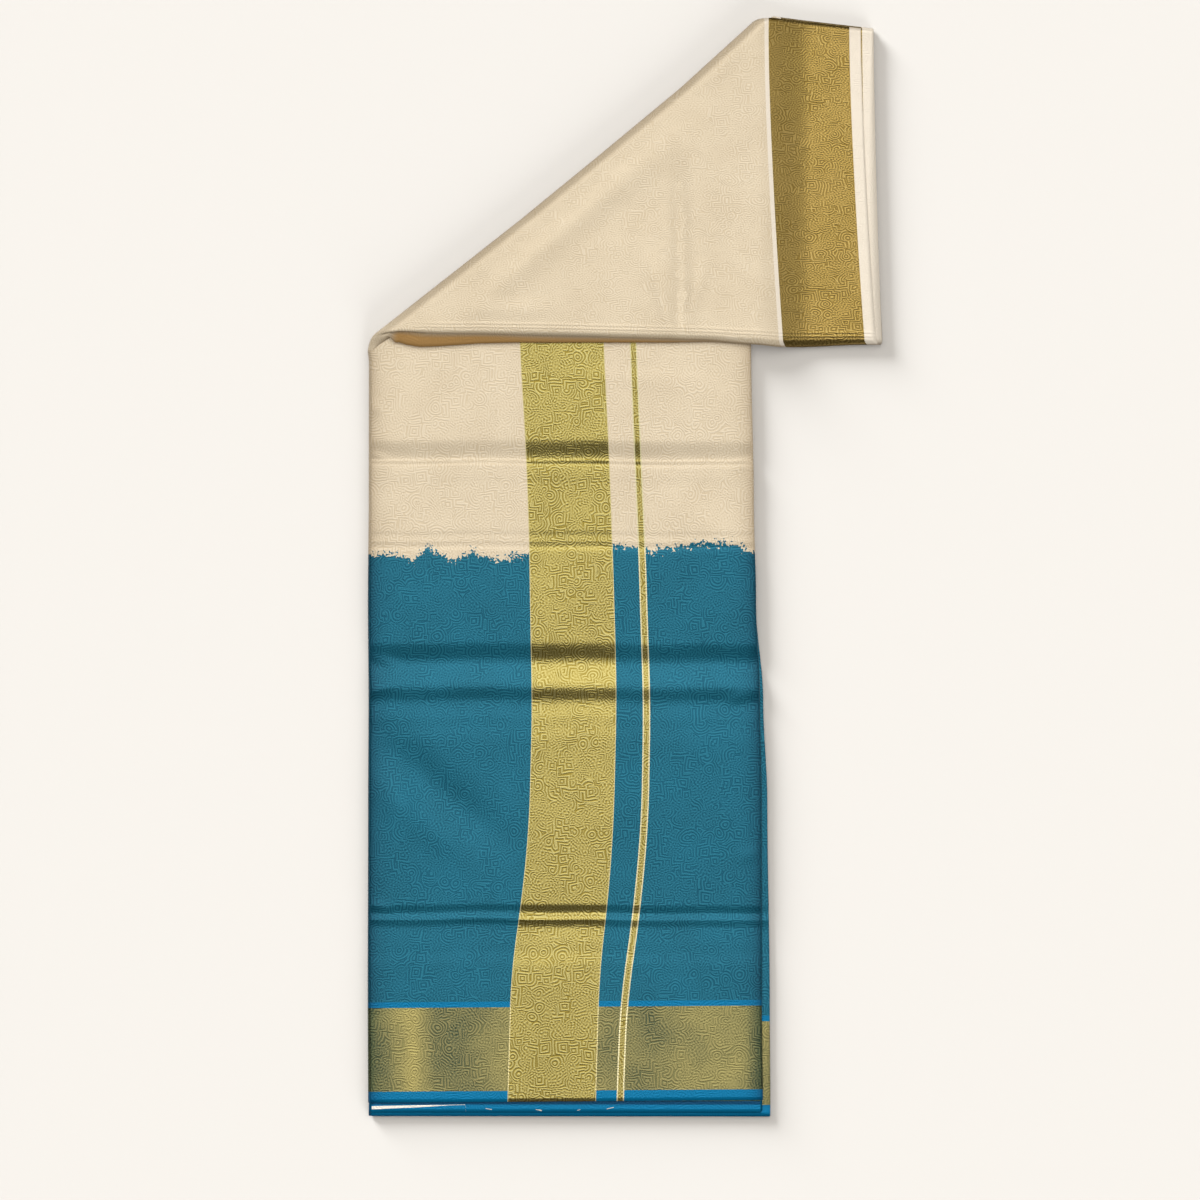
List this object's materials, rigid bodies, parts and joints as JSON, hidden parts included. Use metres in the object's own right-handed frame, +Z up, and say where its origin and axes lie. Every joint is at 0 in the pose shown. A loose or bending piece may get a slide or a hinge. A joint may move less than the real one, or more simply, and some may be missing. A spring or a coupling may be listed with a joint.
{
  "type": "kasavu saree",
  "caption": "Folded tissue-silk saree with a gold border, its upper end turned over on a slanting fold; lies flat for display.",
  "frame": {"origin": "centre of the underside's bounding box, on the table", "axes": "+Z up from the table; +Y along the strip, from the dyed border's end to the slanting fold; +X to the side the flap is turned to"},
  "size_m": [0.4728, 1.0109, 0.0203],
  "materials": {
    "dyed_tissue": "tissue silk, dyed teal below a ragged edge, with a soft metallic sheen",
    "plain_tissue": "undyed cream tissue silk with a pale gold sheen",
    "selvedge_layers": "plain bright blue selvedges of the layers under the top panel"
  },
  "bodies": {
    "root": {"front_panel": "dyed_tissue", "upper_layers": "selvedge_layers", "lower_layers": "selvedge_layers", "back_panel": "dyed_tissue", "flap_face": "plain_tissue", "flap_layers": "plain_tissue"}
  },
  "joints": []
}
